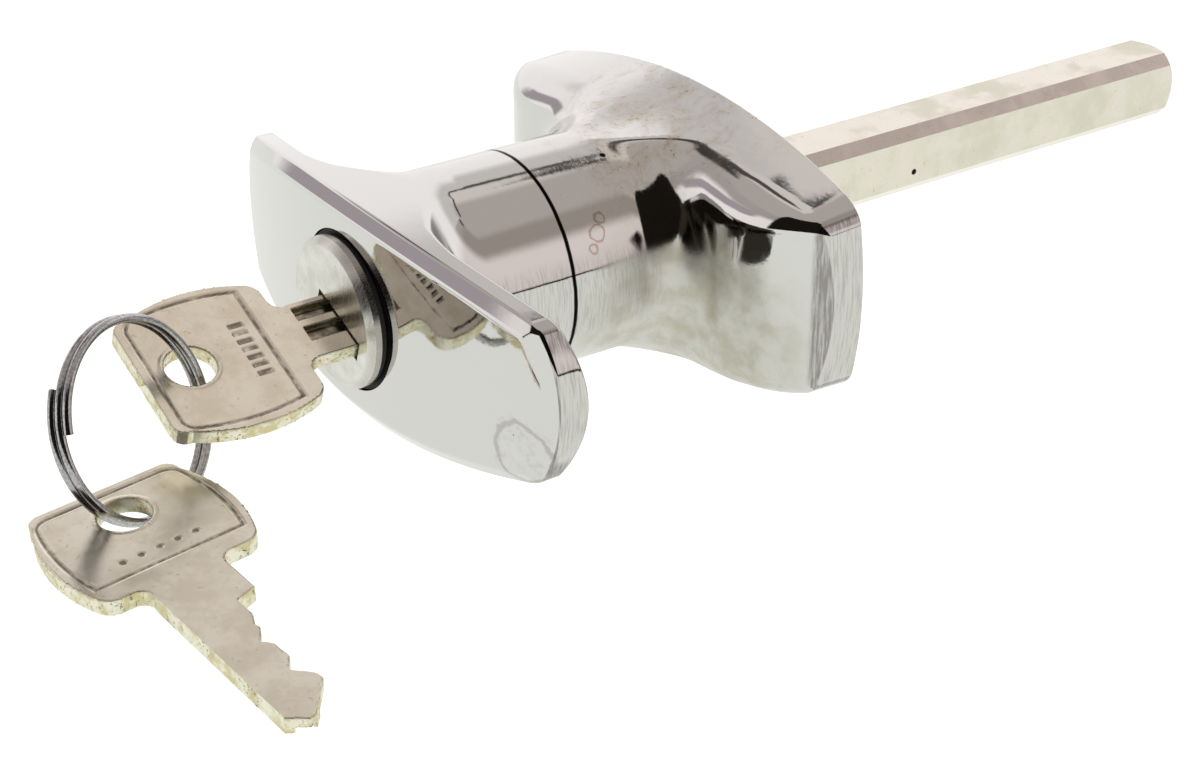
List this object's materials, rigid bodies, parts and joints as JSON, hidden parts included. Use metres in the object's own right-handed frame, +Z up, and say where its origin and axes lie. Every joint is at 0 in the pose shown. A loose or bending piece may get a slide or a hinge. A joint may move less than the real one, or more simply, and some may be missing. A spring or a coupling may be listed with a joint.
{
  "type": "locking t-handle",
  "caption": "Chrome T-shaped grip that turns in a boat-shaped rose, with a key lock in its face, a square spindle behind, and keys on a split ring.",
  "frame": {"origin": "centre of the rose's flat back face, on the spindle's axis", "axes": "+Y along the spindle, away from the grip; +Z up; X along the grip and the rose"},
  "size_m": [0.0914, 0.1824, 0.0354],
  "materials": {
    "rose_chrome": "bright chrome plate over zinc casting",
    "grip_chrome": "bright chrome plate over zinc casting",
    "insert_steel": "zinc plated",
    "bush_brass": "turned",
    "spindle_zinc": "drawn bar, zinc plated",
    "pin_steel": "ground",
    "spring_steel": "blackened spring steel",
    "washer_steel": "pressed, zinc plated",
    "clip_steel": "phosphated spring steel",
    "housing_brass": "turned",
    "plug_nickel": "nickel plated, face brushed",
    "seal_rubber": "matt",
    "wafer_brass": "stamped",
    "spring_wire": "drawn wire",
    "cam_steel": "zinc plated",
    "screw_zinc": "zinc plated",
    "bolt_steel": "hardened, ground",
    "key_nickel": "nickel silver, stamped",
    "ring_steel": "nickel plated wire"
  },
  "bodies": {
    "rose_body": {"rose": "rose_chrome", "screw_inserts": "insert_steel", "hub_bush": "bush_brass", "dished_washer": "spring_steel"},
    "handle": {"t_grip": "grip_chrome", "spindle": "spindle_zinc", "spindle_pin": "pin_steel", "thrust_washer": "washer_steel", "hub_circlip": "clip_steel", "lock_housing": "housing_brass", "housing_pin": "pin_steel"},
    "plug": {"lock_plug": "plug_nickel", "plug_face_seal": "seal_rubber", "lock_wafers": "wafer_brass", "wafer_springs": "spring_wire", "plug_cam": "cam_steel", "cam_screw": "screw_zinc"},
    "bolt": {"lock_bolt": "bolt_steel"},
    "key": {"key_in_lock": "key_nickel"},
    "ring": {"split_ring": "ring_steel"},
    "spare": {"spare_key": "key_nickel"}
  },
  "joints": [
    {"name": "handle_turn", "type": "hinge", "parent": "rose_body", "child": "handle", "pos_m": [0, 0, 0], "axis": [0, 1, 0], "range_deg": [0, 90]},
    {"name": "plug_turn", "type": "hinge", "parent": "handle", "child": "plug", "pos_m": [0, -0.05, 0], "axis": [0, 1, 0], "range_deg": [-21, 69]},
    {"name": "bolt_slide", "type": "slide", "parent": "handle", "child": "bolt", "axis": [0, 0, -1], "range_m": [-0.00066, 0.0021]},
    {"name": "key_slide", "type": "slide", "parent": "plug", "child": "key", "axis": [0, -1, 0], "range_m": [0, 0.03]},
    {"name": "ring_swing", "type": "hinge", "parent": "key", "child": "ring", "pos_m": [0.00251, -0.07263, -0.00073], "axis": [-0.26, -0.208, 0.9429], "range_deg": [-30, 0]},
    {"name": "spare_swing", "type": "hinge", "parent": "ring", "child": "spare", "pos_m": [0.01396, -0.08718, -0.00954], "axis": [-0.1889, 0.7798, -0.5968], "range_deg": [-20, 0]}
  ],
  "couplings": [
    {"joint": "bolt_slide", "follows": "plug_turn", "m_per_rad": 0.0017189}
  ]
}
